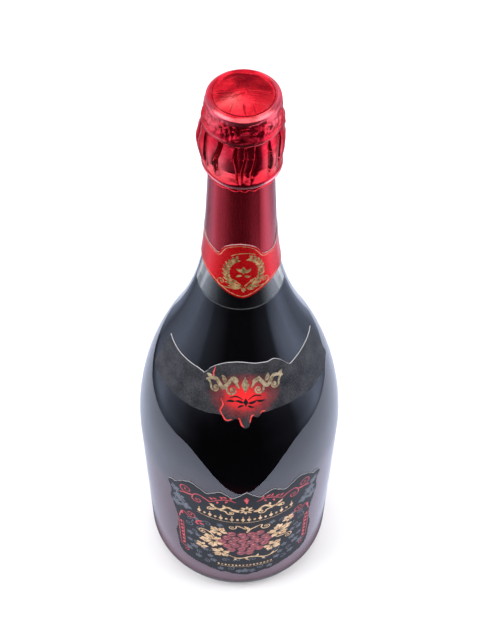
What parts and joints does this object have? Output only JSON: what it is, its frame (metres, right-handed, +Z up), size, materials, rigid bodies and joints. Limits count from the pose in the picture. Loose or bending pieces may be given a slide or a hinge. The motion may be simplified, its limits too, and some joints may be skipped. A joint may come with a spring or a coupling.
{
  "type": "bottle of sangria",
  "caption": "Closed sparkling-style glass bottle of sangria with a crumpled foil hood, a foil neck sleeve, a neck collar, a shoulder label and an ornate front label",
  "frame": {"origin": "centre of the ring the bottle stands on, at floor level", "axes": "+Z up along the bottle's axis; the middle of the front label faces -Y; +X to the right of a viewer who faces the label"},
  "size_m": [0.0916, 0.0919, 0.3],
  "materials": {
    "glass": "clear, glossy, slightly smoky",
    "drink": "very dark red liquid",
    "hood_foil": "crumpled glossy metallic red foil",
    "sleeve_foil": "satin metallic dark red foil",
    "red_paper": "glossy bright red with gold print",
    "charcoal_paper": "matt charcoal with a fine grain",
    "black_paper": "matt black with red, grey and gold print"
  },
  "bodies": {
    "root": {"glass_bottle": "glass", "sangria": "drink", "foil_hood": "hood_foil", "neck_foil": "sleeve_foil", "neck_label": "red_paper", "shoulder_label": "charcoal_paper", "main_label": "black_paper"}
  },
  "joints": []
}
